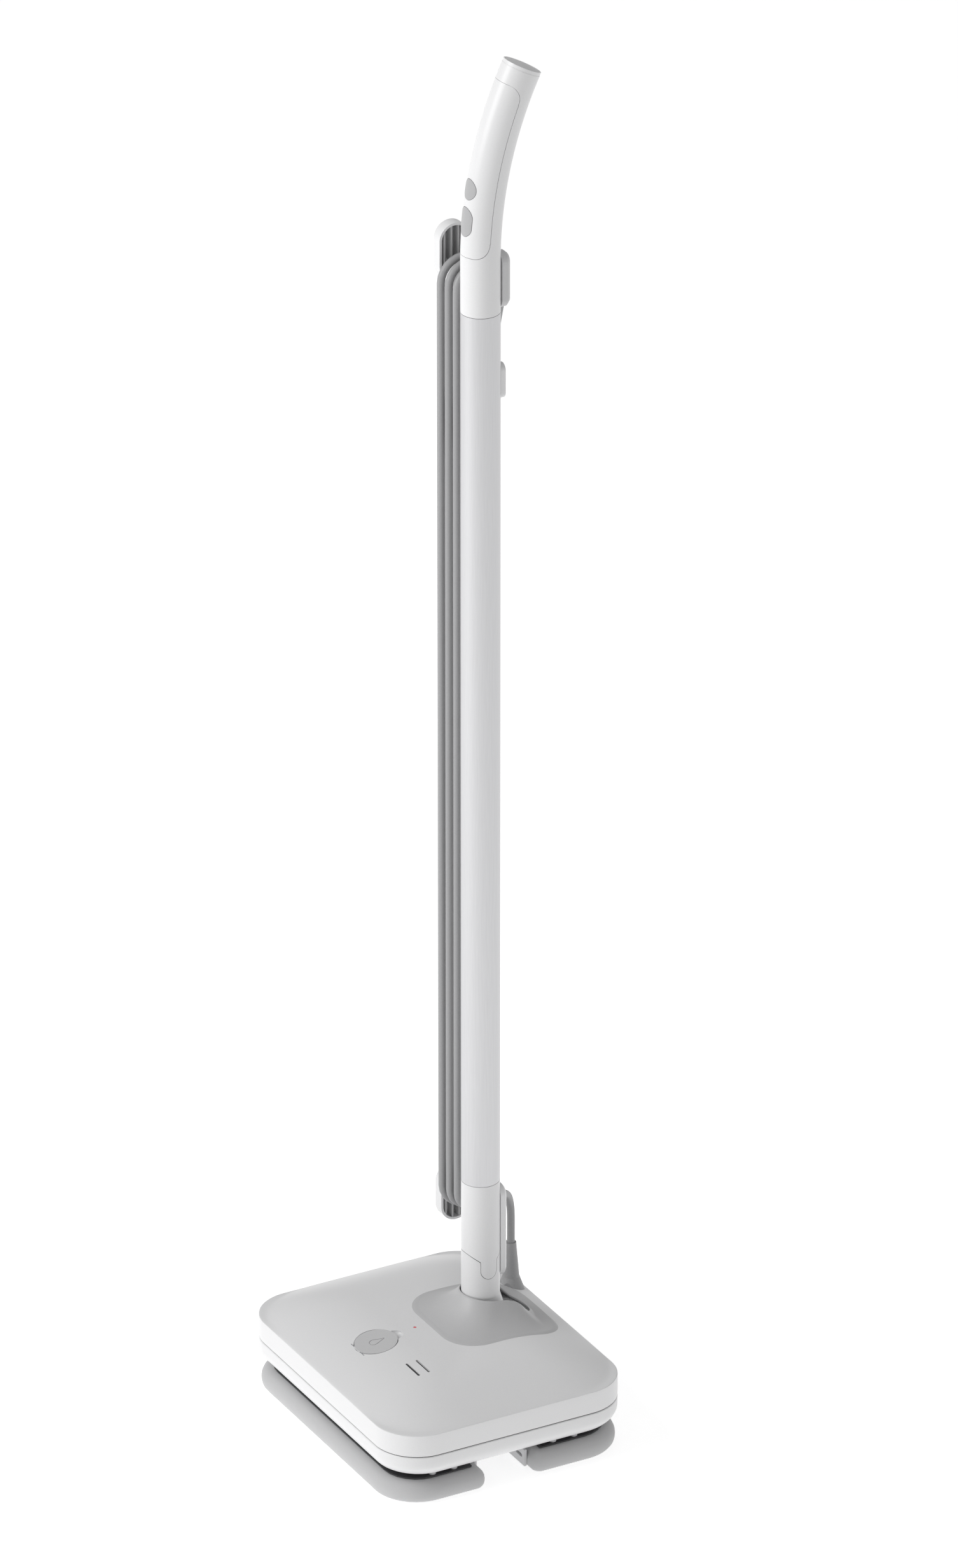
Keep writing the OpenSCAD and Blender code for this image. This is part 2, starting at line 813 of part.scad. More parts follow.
// ---- mains cord --------------------------------------------------------
wind_x0 = -50.3;
wind_x1 = -23.7;
wind_in = 12.25;
wind_steps = [[wind_x0, -41, 23.2], [-41 - eps, -31, 21.2], [-31 - eps, wind_x1, 19.1]];
relief_top = [-5, 60.5, 992];
lead_path = [[-14, 62, 960], [-15.5, 62.2, 954], [-17.5, 62.5, 947], [-19.5, 62.9, 939],
    [-21.5, 63.3, 930], [-23.2, 63.8, 920], [-24.6, 64.2, 910], [-25.8, 64.6, 899], [-26.7, 64.9, 887],
    [-27, 65, 875]];
tail_path = [[-46.6, 69.2, 985], [-46.6, 69.2, 972], [-46.2, 68.3, 965], [-44.9, 65.5, 958],
    [-42.1, 59.4, 951], [-39.2, 53.2, 944], [-37.9, 50.4, 937], [-37.5, 49.5, 930],
    [-37.5, 49.5, 922], [-37.5, 49.5, 914]];
plug_x = -37.5;
plug_z = 918;

// turns +Z to point from a to b
module along(a, b) {
    v = b - a;
    rotate([0, acos(v[2] / norm(v)), atan2(v[1], v[0])]) children();
}

module strain_relief() {
    color(pale) difference() {
        translate(relief_top) along(relief_top, lead_path[0])
            cylinder(h = norm(lead_path[0] - relief_top), r1 = 5.5, r2 = 4);
        translate([0, pole_y, 900]) cylinder(h = 160, r = tube_r + 0.1);
    }
}

module mains_cord_lead() {
    color([0.6, 0.6, 0.62]) swept(lead_path, cord_r, 12);
}

// the wound turns, as one ring of their outer shape
module mains_cord_winding() {
    half = (hook_top - hook_low) / 2;
    color([0.6, 0.6, 0.62]) translate([0, hook_y, hook_low + half])
        for (s = wind_steps) translate([s[0], 0, 0]) rotate([90, 0, 90]) linear_extrude(s[1] - s[0])
            difference() {
                stadium(half + s[2], s[2]);
                stadium(half + wind_in, wind_in);
            }
}

// the free end, from the last turn into the middle of the loops
module mains_cord_tail() {
    color([0.6, 0.6, 0.62]) swept(tail_path, cord_r, 12);
}

module mains_plug() {
    color([0.6, 0.6, 0.62]) translate([plug_x, hook_y, 0]) difference() {
        union() {
            translate([0, 0, plug_z - 30]) cylinder(h = 30, r1 = 5.6, r2 = 4.2);
            hull() {
                translate([0, 0, plug_z - 34]) linear_extrude(4) rounded(7, 6, 3, $fn = 32);
                translate([0, 0, plug_z - 66]) linear_extrude(26) rounded(11, 9, 6, $fn = 32);
            }
        }
        for (x = pin_x) translate([x, 0, plug_z - 67]) cylinder(h = 11, r = 2.4);
    }
}

pin_x = [-6.5, 6.5];
module plug_pins() {
    color(steel) for (x = pin_x) translate([plug_x + x, hook_y, plug_z - 85])
        cylinder(h = 28, r = 2.38);
}

lower_shell();
upper_shell();
cuff();
filler_well();
water_tank();
tank_outlet();
water_pump();
boiler();
heating_element();
steam_pipes();
control_board();
drive_motor();
crank_bearing();
pivot_blocks();
pivot_pin();
park_spring();
led_lens();
steam_vents();
cable_boot();
head_screws();
cap_pin();
filler_cap();
cap_seal();
crank_shaft();
front_plate();
front_rail();
front_pegs();
front_pad();
rear_plate();
rear_rail();
rear_pegs();
rear_pad();
neck();
lower_fitting();
joint_screws();
cable_guide();
rear_cable();
tube();
lower_hook();
lower_hook_fins();
handle_shell();
grip_panel();
end_cap();
cord_outlet();
hook_mount();
upper_hook();
upper_hook_fins();
power_button();
steam_button();
switch_board();
latch_housing();
latch_button();
inner_lead();
strain_relief();
mains_cord_lead();
mains_cord_winding();
mains_cord_tail();
mains_plug();
plug_pins();
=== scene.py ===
"""Looks for the steam mop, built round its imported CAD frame. Metres, +Z up."""
import json
import math

import bmesh
import bpy
from mathutils import Matrix, Vector


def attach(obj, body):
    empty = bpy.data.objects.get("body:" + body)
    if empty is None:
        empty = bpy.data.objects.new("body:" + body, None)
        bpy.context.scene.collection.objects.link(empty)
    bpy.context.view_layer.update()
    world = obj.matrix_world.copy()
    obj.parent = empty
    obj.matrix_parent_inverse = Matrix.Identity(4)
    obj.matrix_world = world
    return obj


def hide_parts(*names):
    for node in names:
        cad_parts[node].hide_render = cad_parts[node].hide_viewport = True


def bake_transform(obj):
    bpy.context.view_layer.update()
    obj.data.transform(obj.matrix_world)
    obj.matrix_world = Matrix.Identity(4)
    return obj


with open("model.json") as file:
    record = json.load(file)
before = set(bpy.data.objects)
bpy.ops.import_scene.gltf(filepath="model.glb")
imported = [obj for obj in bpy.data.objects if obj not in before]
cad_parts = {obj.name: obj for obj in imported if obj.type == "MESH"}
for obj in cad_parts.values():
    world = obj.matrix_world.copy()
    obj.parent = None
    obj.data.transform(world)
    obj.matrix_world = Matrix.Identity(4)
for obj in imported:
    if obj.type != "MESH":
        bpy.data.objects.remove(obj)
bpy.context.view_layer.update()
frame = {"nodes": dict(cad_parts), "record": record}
mm = 0.001


# ---- helpers -------------------------------------------------------------
def mesh_object(name, points, faces, smooth=True):
    mesh = bpy.data.meshes.new(name)
    mesh.from_pydata([tuple(p) for p in points], [], faces)
    mesh.update()
    piece = bpy.data.objects.new(name, mesh)
    bpy.context.scene.collection.objects.link(piece)
    tidy = bmesh.new()
    tidy.from_mesh(mesh)
    bmesh.ops.remove_doubles(tidy, verts=tidy.verts, dist=1e-6)
    bmesh.ops.recalc_face_normals(tidy, faces=tidy.faces)
    tidy.to_mesh(mesh)
    tidy.free()
    for face in mesh.polygons:
        face.use_smooth = smooth
    return piece


def lofted(name, rings, wrap=False):
    """A skin through rings of equal point counts.

    The ends are closed with a face each, or with wrap the last ring joins the first.
    """
    count = len(rings[0])
    points = [p for ring in rings for p in ring]
    faces = []
    for i in range(len(rings) - 1):
        for k in range(count):
            faces.append((i * count + k, i * count + (k + 1) % count,
                          (i + 1) * count + (k + 1) % count, (i + 1) * count + k))
    if wrap:
        rows = len(rings) - 1
        for k in range(count):
            faces.append((rows * count + k, rows * count + (k + 1) % count, (k + 1) % count, k))
    else:
        faces.append(tuple(range(count - 1, -1, -1)))
        faces.append(tuple((len(rings) - 1) * count + k for k in range(count)))
    return mesh_object(name, points, faces)


def apply(piece):
    """Bakes the piece's modifiers into its mesh."""
    graph = bpy.context.evaluated_depsgraph_get()
    mesh = bpy.data.meshes.new_from_object(piece.evaluated_get(graph))
    piece.modifiers.clear()
    piece.data = mesh
    return piece


def dress(piece, look, body=None):
    """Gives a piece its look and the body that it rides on."""
    piece.data.materials.clear()
    piece.data.materials.append(look)
    if body:
        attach(piece, body)
    return piece


# ---- materials -----------------------------------------------------------
def material(name, color, rough, metallic=0.0, noise=600, vary=0.02, bump=0.02, depth=0.0001,
             stretch=(1, 1, 1), sheen=0.0, rough_vary=0.05):
    """A principled shader with fine colour, gloss and surface variation."""
    made = bpy.data.materials.new(name)
    made.use_nodes = True
    tree = made.node_tree
    nodes, links = tree.nodes, tree.links
    shader = nodes["Principled BSDF"]
    shader.inputs["Metallic"].default_value = metallic
    shader.inputs["Sheen Weight"].default_value = sheen
    place = nodes.new("ShaderNodeTexCoord")
    scale = nodes.new("ShaderNodeMapping")
    scale.inputs["Scale"].default_value = stretch
    links.new(place.outputs["Object"], scale.inputs["Vector"])
    grain = nodes.new("ShaderNodeTexNoise")
    grain.inputs["Scale"].default_value = noise
    grain.inputs["Detail"].default_value = 4
    links.new(scale.outputs["Vector"], grain.inputs["Vector"])
    tint = nodes.new("ShaderNodeValToRGB")
    tint.color_ramp.elements[0].position = 0.3
    tint.color_ramp.elements[1].position = 0.7
    tint.color_ramp.elements[0].color = [c * (1 - vary) for c in color] + [1]
    tint.color_ramp.elements[1].color = [min(1, c * (1 + vary)) for c in color] + [1]
    links.new(grain.outputs["Fac"], tint.inputs["Fac"])
    links.new(tint.outputs["Color"], shader.inputs["Base Color"])
    gloss = nodes.new("ShaderNodeMapRange")
    gloss.inputs["To Min"].default_value = max(0.03, rough - rough_vary)
    gloss.inputs["To Max"].default_value = min(1, rough + rough_vary)
    links.new(grain.outputs["Fac"], gloss.inputs["Value"])
    links.new(gloss.outputs["Result"], shader.inputs["Roughness"])
    rise = nodes.new("ShaderNodeBump")
    rise.inputs["Strength"].default_value = bump
    rise.inputs["Distance"].default_value = depth
    links.new(grain.outputs["Fac"], rise.inputs["Height"])
    links.new(rise.outputs["Normal"], shader.inputs["Normal"])
    return made


WHITE = material("white_satin", (0.75, 0.75, 0.755), 0.32, noise=900, vary=0.012, bump=0.12)
GREY = material("cuff_grey", (0.50, 0.50, 0.505), 0.45, noise=1100, vary=0.02, bump=0.2)
CAP_GREY = material("cap_grey", (0.56, 0.56, 0.565), 0.42, noise=1100, vary=0.02, bump=0.15)
BUTTON = material("button_grey", (0.40, 0.40, 0.405), 0.4, noise=1100, vary=0.02, bump=0.15)
END_GREY = material("end_grey", (0.60, 0.60, 0.605), 0.4, noise=1100, vary=0.02, bump=0.15)
OUTLET = material("outlet_grey", (0.56, 0.56, 0.565), 0.45, noise=900, vary=0.02, bump=0.2)
PALE = material("pale_plastic", (0.62, 0.62, 0.63), 0.5, noise=900, vary=0.02, bump=0.15)
FIN = material("fin_plastic", (0.46, 0.46, 0.465), 0.5, noise=900, vary=0.03, bump=0.15)
# near-black: the colour of the dark plastic parts, and also used as painted shade in the seams
DARK_PLASTIC_AND_SHADE = material("dark_plastic", (0.04, 0.04, 0.043), 0.5, noise=900, vary=0.08, bump=0.2)
SEAL = material("seal_rubber", (0.02, 0.02, 0.02), 0.7, noise=700, vary=0.1, bump=0.3)
CORD = material("cord_pvc", (0.33, 0.33, 0.335), 0.45, noise=900, vary=0.04, bump=0.2)
BOOT = material("boot_rubber", (0.36, 0.36, 0.365), 0.5, noise=900, vary=0.04, bump=0.2)
STEEL = material("plain_steel", (0.55, 0.56, 0.58), 0.3, metallic=1, noise=500, stretch=(1, 1, 8))
COPPER = material("drawn_copper", (0.62, 0.33, 0.2), 0.3, metallic=1, noise=400, vary=0.08)
BOARD = material("board_lacquer", (0.03, 0.2, 0.09), 0.35, noise=300, vary=0.1)
TANK = material("tank_plastic", (0.55, 0.63, 0.7), 0.25, noise=300, vary=0.02)
LENS = material("lens_red", (0.75, 0.16, 0.18), 0.2, noise=300, vary=0.05)
TUBE = material("anodised_tube", (0.60, 0.60, 0.61), 0.38, metallic=0.8, noise=900, vary=0.03,
                bump=0.08, stretch=(1, 1, 0.04), rough_vary=0.08)
PAD = material("pad_pile", (0.50, 0.50, 0.505), 0.7, noise=1400, vary=0.02, bump=0.12,
               depth=0.0002, sheen=0.15)

CAD_LOOKS = {"white_shell": WHITE, "grey_plastic": GREY, "pale_plastic": PALE, "clear_tank": TANK,
             "dark_plastic": DARK_PLASTIC_AND_SHADE, "steel": STEEL, "copper": COPPER, "board_green": BOARD,
             "tube_metal": TUBE, "pad_fabric": PAD, "cord_rubber": CORD, "seal_rubber": SEAL,
             "led_red": LENS}
OWN_LOOKS = {"power_button": BUTTON, "steam_button": BUTTON, "end_cap": END_GREY, "cable_boot": BOOT,
             "filler_cap": CAP_GREY, "cord_outlet": OUTLET, "lower_hook_fins": FIN,
             "upper_hook_fins": FIN}
slots = {row["node"]: row["material_slot"] for row in frame["record"]["subparts"]}
for node, slot in slots.items():
    shown = frame["nodes"][node]
    shown.data.materials.clear()
    shown.data.materials.append(OWN_LOOKS.get(node, CAD_LOOKS[slot]))

# ---- camera --------------------------------------------------------------
camera_data = bpy.data.cameras.new("camera")
camera_data.lens = 248.8
camera_data.sensor_width = 36
camera_data.shift_x = -0.00093
camera = bpy.data.objects.new("camera", camera_data)
bpy.context.scene.collection.objects.link(camera)
camera.location = (6.8610, -3.7158, 4.3810)
camera.rotation_euler = (math.radians(64.0), 0, math.radians(61.3))
camera_data.clip_end = 50
bpy.context.scene.camera = camera

# ---- mains cord ----------------------------------------------------------
CORD_R = 3.25 * mm
HOOK_Y = 49.5 * mm
TOP_Z = 988 * mm
LOW_Z = 182.5 * mm
FRONT_X = (-27 * mm, -36.5 * mm, -46 * mm)
BACK_X = (-27 * mm, -33.55 * mm, -40.1 * mm, -46.6 * mm)
LEAD = [(-14, 62, 960), (-15.5, 62.2, 954), (-17.5, 62.5, 947), (-19.5, 62.9, 939),
        (-21.5, 63.3, 930), (-23.2, 63.8, 920), (-24.6, 64.2, 910), (-25.8, 64.6, 899),
        (-26.7, 64.9, 887), (-27, 65, 875)]
TAIL = [(-46.6, 69.2, 985), (-46.6, 69.2, 972), (-46.2, 68.3, 965), (-44.9, 65.5, 958),
        (-42.1, 59.4, 951), (-39.2, 53.2, 944), (-37.9, 50.4, 937), (-37.5, 49.5, 930),
        (-37.5, 49.5, 922), (-37.5, 49.5, 914)]


def loop_radius(x):
    """The hooks' turns widen a little towards the hooks' plates."""
    return (15.5 + (-27 - x / mm) * 4 / 19) * mm


def half_turn(x0, x1, z, side):
    """Round a hook: side is +1 when it starts at the back, -1 at the front."""
    up = 1 if z > 0.5 else -1
    route = []
    for step in range(1, 12):
        t = step / 12
        x = x0 + (x1 - x0) * (0.5 - 0.5 * math.cos(math.pi * t))
        r = loop_radius(x)
        route.append((x, HOOK_Y + side * r * math.cos(math.pi * t), z + up * r * math.sin(math.pi * t)))
    return route


def straight(x, side, z0, z1, count=14):
    y = HOOK_Y + side * loop_radius(x)
    return [(x, y, z0 + (z1 - z0) * k / count) for k in range(count + 1)]


def wound_route():
    route = [tuple(v * mm for v in p) for p in LEAD[:-1]]
    top = LEAD[-1][2] * mm
    for k, front in enumerate(FRONT_X):
        route += straight(BACK_X[k], 1, top, LOW_Z)
        route += half_turn(BACK_X[k], front, LOW_Z, 1)
        route += straight(front, -1, LOW_Z, TOP_Z)
        route += half_turn(front, BACK_X[k + 1], TOP_Z, -1)
        top = TOP_Z
    return route + [tuple(v * mm for v in p) for p in TAIL]


def curve_piece(name, route, radius):
    data = bpy.data.curves.new(name, "CURVE")
    data.dimensions = "3D"
    data.bevel_depth = radius
    data.bevel_resolution = 5
    data.use_fill_caps = True
    spline = data.splines.new("POLY")
    spline.points.add(len(route) - 1)
    for point, place in zip(spline.points, route):
        point.co = (*place, 1)
    piece = bpy.data.objects.new(name, data)
    bpy.context.scene.collection.objects.link(piece)
    return piece


cord_route = wound_route()
mains = curve_piece("mains_cord", cord_route, CORD_R)
dress(mains, CORD, "pole")
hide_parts("mains_cord_lead", "mains_cord_winding", "mains_cord_tail")

# ---- head shapes ---------------------------------------------------------
HEAD_X = 135.5 * mm
HEAD_Y = 110 * mm
CORNER = 38.5 * mm
SEAM_Z = 45.5 * mm
BELLY_Z = 24 * mm
EDGE_Z = 65.3 * mm
DOME_H = 17.5 * mm
FALL = 77 * mm
CAP = Vector((0, -57.2 * mm, 81.0 * mm))
CAP_TILT = math.radians(8.1)
CAP_R = 18 * mm
POLE_Y = 40.5 * mm
POLE_R = 16 * mm
SLOT_FRONT = POLE_Y
SLOT_BACK = 64 * mm
SLOT_HALF = 21.3 * mm
NOTCH_AT = (0, -41.2 * mm, 83.0 * mm)
NOTCH_SIZE = (7.2 * mm, 9 * mm, 4.4 * mm)
VENT_X = 57 * mm
VENT_YS = (-53.5 * mm, -44.2 * mm)
LENS_AT = (-3 * mm, -19.2 * mm, 0)
CRANK_AT = (0, -5 * mm, 0)
CRANK_HOLE_R = 8.1 * mm
ABOVE_HEAD = 90 * mm


def dome_z(x, y):
    """Height of the head's top."""
    ex = max(0.0, 1 - (HEAD_X - abs(x)) / FALL)
    ey = max(0.0, 1 - (HEAD_Y - abs(y)) / FALL)
    return EDGE_Z + DOME_H * (1 - min(1.0, (ex ** 3 + ey ** 3)) ** (2 / 3))


def plan(hx, hy, r, per_corner=16, per_side=14, x=0.0, y=0.0):
    """A rounded rectangle's outline, anticlockwise from its right side."""
    points = []
    corners = ((hx - r, hy - r, 0), (r - hx, hy - r, 90), (r - hx, r - hy, 180), (hx - r, r - hy, 270))
    for k, (cx, cy, a0) in enumerate(corners):
        for s in range(per_corner + 1):
            a = math.radians(a0 + 90 * s / per_corner)
            points.append((x + cx + r * math.cos(a), y + cy + r * math.sin(a)))
        nx, ny, na = corners[(k + 1) % 4]
        end = (x + nx + r * math.cos(math.radians(na)), y + ny + r * math.sin(math.radians(na)))
        last = points[-1]
        for s in range(1, per_side):
            f = s / per_side
            points.append((last[0] + (end[0] - last[0]) * f, last[1] + (end[1] - last[1]) * f))
    return points


def level(points, z):
    return [(x, y, z) for x, y in points]


def cut(piece, cutter):
    """Takes the cutter out of the piece and removes it."""
    mod = piece.modifiers.new("cut", "BOOLEAN")
    mod.object = cutter
    mod.operation = "DIFFERENCE"
    mod.solver = "EXACT"
    apply(piece)
    bpy.data.objects.remove(cutter, do_unlink=True)
    return piece


def smooth_by_angle(piece, angle=40):
    bpy.context.view_layer.objects.active = piece
    for face in piece.data.polygons:
        face.use_smooth = True
    piece.data.set_sharp_from_angle(angle=math.radians(angle))
    return piece


def disc_tool(name, r, z0, z1, place=Matrix.Identity(4), sides=96):
    rings = [[place @ Vector((r * math.cos(2 * math.pi * k / sides),
                              r * math.sin(2 * math.pi * k / sides), z)) for k in range(sides)]
             for z in (z0, z1)]
    return lofted(name, rings)


def stadium_outline(half_x, front, back, count=24):
    """A slot along Y with round ends centred at front and back."""
    points = []
    for k in range(count + 1):
        a = math.pi * k / count
        points.append((half_x * math.cos(a), back + half_x * math.sin(a)))
    for k in range(count + 1):
        a = math.pi + math.pi * k / count
        points.append((half_x * math.cos(a), front + half_x * math.sin(a)))
    return points


cap_place = Matrix.Translation(CAP) @ Matrix.Rotation(CAP_TILT, 4, "X")


def head_top():
    """The upper shell: straight walls, a soft rim and the domed top."""
    rings = []
    rings.append(level(plan(HEAD_X - 0.6 * mm, HEAD_Y - 0.6 * mm, CORNER - 0.6 * mm), SEAM_Z + 0.35 * mm))
    rings.append(level(plan(HEAD_X - 0.1 * mm, HEAD_Y - 0.1 * mm, CORNER - 0.1 * mm), SEAM_Z + 0.9 * mm))
    edge = plan(HEAD_X, HEAD_Y, CORNER)
    for f in (0.1, 0.4, 0.7, 0.9):
        rings.append([(x, y, SEAM_Z + 1.4 * mm + (dome_z(x, y) - 2.4 * mm - SEAM_Z) * f)
                      for x, y in edge])
    # round the rim over, then follow the dome inwards to the middle
    for f in (0.35, 0.7, 1.0):
        a = f * math.pi / 2
        inset = 0.9 * mm * (1 - math.cos(a))
        ring = plan(HEAD_X - inset, HEAD_Y - inset, CORNER - inset)
        rings.append([(x, y, dome_z(x, y) - 0.9 * mm * (1 - math.sin(a))) for x, y in ring])
    steps = 44
    base = rings[-1]
    for s in range(1, steps):
        f = s / steps
        rings.append([(x * (1 - f), y * (1 - f), dome_z(x * (1 - f), y * (1 - f))) for x, y, z in base])
    return lofted("head_top", rings)


def filler_tool():
    return disc_tool("tool", CAP_R + 0.55 * mm, -9 * mm, 20 * mm, cap_place)


def build_head():
    top = head_top()
    cut(top, filler_tool())
    # finger notch behind the cap
    ball = bmesh.new()
    bmesh.ops.create_icosphere(ball, subdivisions=5, radius=1)
    bmesh.ops.scale(ball, vec=NOTCH_SIZE, verts=ball.verts)
    bmesh.ops.translate(ball, vec=NOTCH_AT, verts=ball.verts)
    ball_mesh = bpy.data.meshes.new("tool")
    ball.to_mesh(ball_mesh)
    ball.free()
    scoop = bpy.data.objects.new("tool", ball_mesh)
    bpy.context.scene.collection.objects.link(scoop)
    cut(top, scoop)
    for y in VENT_YS:
        vent_plan = plan(11.3 * mm, 1.1 * mm, 1.0 * mm, 6, 4, VENT_X, y)
        cut(top, lofted("tool", [level(vent_plan, 79.5 * mm), level(vent_plan, ABOVE_HEAD)]))
    cut(top, disc_tool("tool", 1.4 * mm, 79 * mm, ABOVE_HEAD, Matrix.Translation(LENS_AT), 32))
    slot_plan = stadium_outline(SLOT_HALF, SLOT_FRONT, SLOT_BACK)
    cut(top, lofted("tool", [level(slot_plan, SEAM_Z - 3 * mm), level(slot_plan, 100 * mm)]))
    smooth_by_angle(top, 30)
    dress(top, WHITE, "head")
    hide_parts("upper_shell")

    rings = [level(plan(HEAD_X - 0.6 * mm, HEAD_Y - 0.6 * mm, CORNER - 0.6 * mm), SEAM_Z - 0.35 * mm),
             level(plan(HEAD_X - 0.1 * mm, HEAD_Y - 0.1 * mm, CORNER - 0.1 * mm), SEAM_Z - 0.9 * mm),
             level(plan(HEAD_X, HEAD_Y, CORNER), SEAM_Z - 1.5 * mm),
             level(plan(HEAD_X, HEAD_Y, CORNER), SEAM_Z - 8 * mm)]
    for k in range(1, 11):
        a = math.radians(90 * k / 10)
        inset = 15 * mm * (1 - math.cos(a))
        rings.append(level(plan(HEAD_X - inset, HEAD_Y - inset, CORNER - 0.6 * inset),
                           BELLY_Z + 13.5 * mm * (1 - math.sin(a))))
    base = rings[-1]
    for f in (0.9, 0.7, 0.5):
        rings.append([(x * f, y * f, z) for x, y, z in base])
    low = lofted("head_bottom", rings)
    cut(low, disc_tool("tool", CRANK_HOLE_R, 20 * mm, 60 * mm, Matrix.Translation(CRANK_AT), 48))
    well_plan = plan(36 * mm, 40 * mm, 6 * mm, 6, 4, 0, 52 * mm)
    cut(low, lofted("tool", [level(well_plan, 27 * mm), level(well_plan, 60 * mm)]))
    smooth_by_angle(low, 30)
    dress(low, WHITE, "head")
    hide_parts("lower_shell")

    # the shadow line between the shells: a thin dark band of painted shade, where the real head shows
    # only shadow in the gap
    band = [level(plan(HEAD_X - 1.2 * mm, HEAD_Y - 1.2 * mm, CORNER - 1.2 * mm), SEAM_Z + s * 0.5 * mm)
            for s in (-1, 1)]
    line = lofted("seam_painted_shade", band)
    gap_plan = stadium_outline(22 * mm, SLOT_FRONT, SLOT_BACK)
    cut(line, lofted("tool", [level(gap_plan, 40 * mm), level(gap_plan, 50 * mm)]))
    dress(line, DARK_PLASTIC_AND_SHADE, "head")


build_head()


# ---- cuff ----------------------------------------------------------------
CUFF_CENTRE = (0, 52 * mm)
LIP_KEYS = ((23, 105), (41, 102.4), (54, 100), (62, 97), (67, 92.8), (72, 87), (77, 81.6), (84.5, 77.4))


def ray_hit(outline, centre, a):
    """Where a ray from centre at angle a meets the outline."""
    best = None
    d = (math.cos(a), math.sin(a))
    for p, q in zip(outline, outline[1:] + outline[:1]):
        ex, ey = q[0] - p[0], q[1] - p[1]
        det = d[0] * -ey + d[1] * ex
        if abs(det) < 1e-15:
            continue
        wx, wy = p[0] - centre[0], p[1] - centre[1]
        t = (wx * -ey + wy * ex) / det
        u = (d[0] * wy - d[1] * wx) / det
        if t > 0 and -1e-9 <= u <= 1 + 1e-9 and (best is None or t > best):
            best = t
    return centre[0] + d[0] * best, centre[1] + d[1] * best


def lip_height(y):
    """The lip sinks slowly in front of the neck and falls away behind it."""
    y = y / mm
    if y <= LIP_KEYS[0][0]:
        return LIP_KEYS[0][1] * mm
    for (y0, z0), (y1, z1) in zip(LIP_KEYS, LIP_KEYS[1:]):
        if y <= y1:
            f = (y - y0) / (y1 - y0)
            return (z0 + (z1 - z0) * f) * mm
    return LIP_KEYS[-1][1] * mm


def drawn_in(ring, distance, drop):
    """The ring moved towards the cuff's centre and down."""
    moved = []
    for x, y, z in ring:
        vx, vy = x - CUFF_CENTRE[0], y - CUFF_CENTRE[1]
        n = math.hypot(vx, vy)
        moved.append((x - vx / n * distance, y - vy / n * distance, z - drop))
    return moved


def cuff_piece():
    """A soft hill whose slopes sweep up to a lip that hugs the neck and falls away behind it."""
    around = 128
    slopes = 26
    foot_plan = plan(51.5 * mm, 52.25 * mm, 29 * mm, 31, 1, 0, 44.75 * mm)
    lip_plan = stadium_outline(20.6 * mm, 43.8 * mm, 63.6 * mm, 63)
    rings = [[] for s in range(slopes + 1)]
    for k in range(around):
        a = 2 * math.pi * k / around
        fx, fy = ray_hit(foot_plan, CUFF_CENTRE, a)
        lx, ly = ray_hit(lip_plan, CUFF_CENTRE, a)
        top = max(lip_height(ly), dome_z(lx, ly) + 1.6 * mm)
        low = dome_z(fx, fy)
        for s in range(slopes + 1):
            t = s / slopes
            x = fx + (lx - fx) * t
            y = fy + (ly - fy) * t
            rise = 0.42 * t + 0.58 * t ** 3.2
            # the skin stays just above the dome wherever the slope would dip into it
            z = max(low + (top - low) * rise, dome_z(x, y) + min(1.0 * mm, 12 * mm * t))
            rings[s].append((x, y, z))
    edge = [drawn_in(rings[-1], 0.35 * mm, -0.05 * mm), drawn_in(rings[-1], 0.6 * mm, 0.35 * mm),
            drawn_in(rings[-1], 0.6 * mm, 1.6 * mm), drawn_in(rings[-1], -0.6 * mm, 2.6 * mm)]
    under = [drawn_in(ring, 0, 2.6 * mm) for ring in rings[-3::-2]]
    piece = lofted("cuff_skin", rings + edge + under, wrap=True)
    smooth_by_angle(piece, 50)
    dress(piece, GREY, "head")
    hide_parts("cuff")


cuff_piece()

# ---- painted shade lines in the pole's seams -------------------------------
GRIP_R = 350 * mm
BEND_Z = 1024 * mm
SEAM_SIDES = 64


def ring_across(y, z, tilt, radius):
    """A circle square to the grip's line at (0, y, z)."""
    points = []
    for k in range(SEAM_SIDES):
        a = 2 * math.pi * k / SEAM_SIDES
        across = radius * math.sin(a)
        points.append((radius * math.cos(a), y + across * math.cos(tilt), z - across * math.sin(tilt)))
    return points


def painted_shade_sleeve(name, stations, outer):
    """A dark sleeve of painted shade inside the wall, which shows only through the gaps."""
    inner = outer - 0.3 * mm
    rings = [ring_across(y, z, tilt, outer) for y, z, tilt in stations]
    rings += [ring_across(y, z, tilt, inner) for y, z, tilt in reversed(stations)]
    dress(lofted(name, rings, wrap=True), DARK_PLASTIC_AND_SHADE, "pole")


# dark sleeves of painted shade behind the neck seam and the grip seam
painted_shade_sleeve("neck_seam_painted_shade", [(POLE_Y, z * mm, 0) for z in (114, 160)], POLE_R - 0.8 * mm)
grip_line = [(POLE_Y, BEND_Z + 2 * mm, 0)]
for degrees in range(1, 26):
    s = math.radians(degrees)
    grip_line.append((POLE_Y + GRIP_R * (1 - math.cos(s)), BEND_Z + GRIP_R * math.sin(s), s))
painted_shade_sleeve("grip_seam_painted_shade", grip_line, POLE_R - 1.9 * mm)

# ---- pads ----------------------------------------------------------------
PAD_X = 132.6 * mm
PAD_Y = 109.8 * mm


